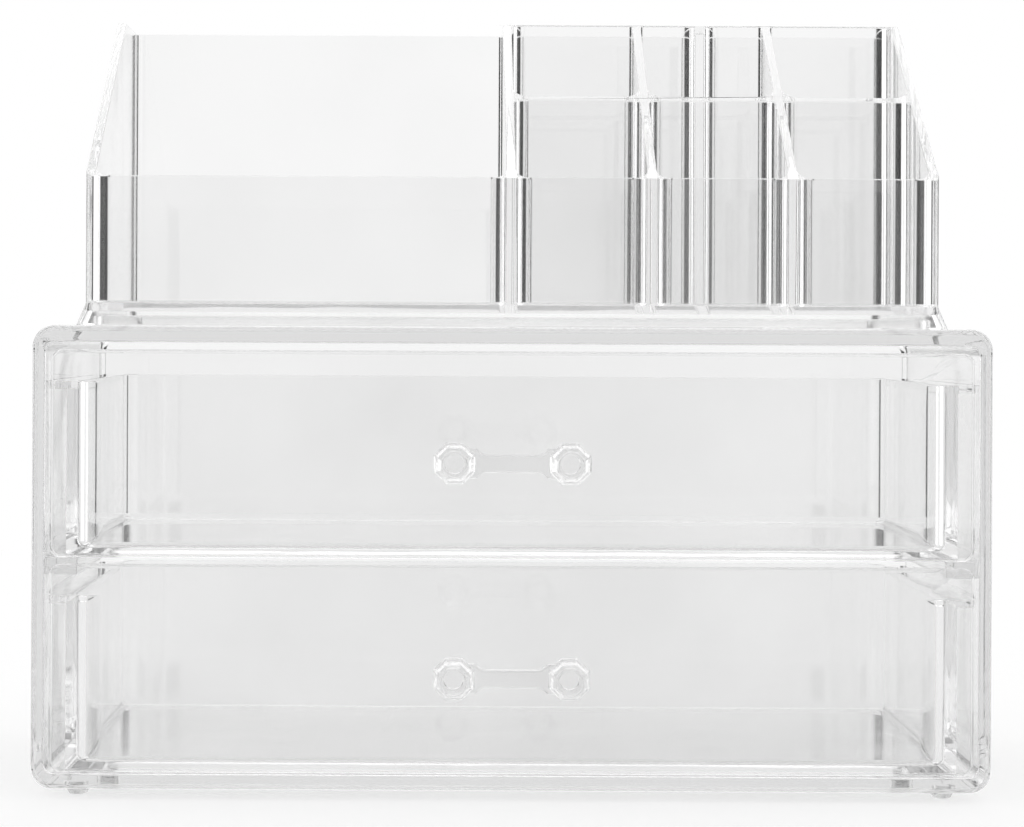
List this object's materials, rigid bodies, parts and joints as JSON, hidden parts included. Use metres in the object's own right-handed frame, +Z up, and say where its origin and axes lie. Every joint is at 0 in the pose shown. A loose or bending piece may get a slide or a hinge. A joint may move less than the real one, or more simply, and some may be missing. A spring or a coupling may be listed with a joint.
{
  "type": "makeup organizer",
  "caption": "Clear plastic vanity organizer: a case with stacked sliding drawers under a lift-off tray with a large compartment and a grid of lipstick and brush compartments.",
  "frame": {"origin": "on the table, at the middle of the rectangle that the organizer covers, pulls included", "axes": "+X to the organizer's right as seen from the front, +Y to its back, +Z up"},
  "size_m": [0.24, 0.152, 0.2024],
  "materials": {
    "case_plastic": "clear polished polystyrene",
    "runner_plastic": "clear polished polystyrene",
    "drawer_plastic": "clear polished polystyrene",
    "pull_plastic": "clear cut crystal style polystyrene",
    "tray_plastic": "clear polished polystyrene",
    "foot_plastic": "clear soft vinyl, slightly cloudy"
  },
  "bodies": {
    "case": {"case_shell": "case_plastic", "left_runner": "runner_plastic", "right_runner": "runner_plastic", "front_left_foot": "foot_plastic", "front_right_foot": "foot_plastic", "back_left_foot": "foot_plastic", "back_right_foot": "foot_plastic"},
    "upper_drawer_body": {"upper_drawer": "drawer_plastic", "upper_pull": "pull_plastic"},
    "lower_drawer_body": {"lower_drawer": "drawer_plastic", "lower_pull": "pull_plastic"},
    "tray_body": {"top_tray": "tray_plastic"}
  },
  "joints": [
    {"name": "upper_drawer_slide", "type": "slide", "parent": "case", "child": "upper_drawer_body", "axis": [0, -1, 0], "range_m": [0, 0.1]},
    {"name": "lower_drawer_slide", "type": "slide", "parent": "case", "child": "lower_drawer_body", "axis": [0, -1, 0], "range_m": [0, 0.1]},
    {"name": "tray_lift", "type": "slide", "parent": "case", "child": "tray_body", "axis": [0, 0, 1], "range_m": [0, 0.03]}
  ]
}
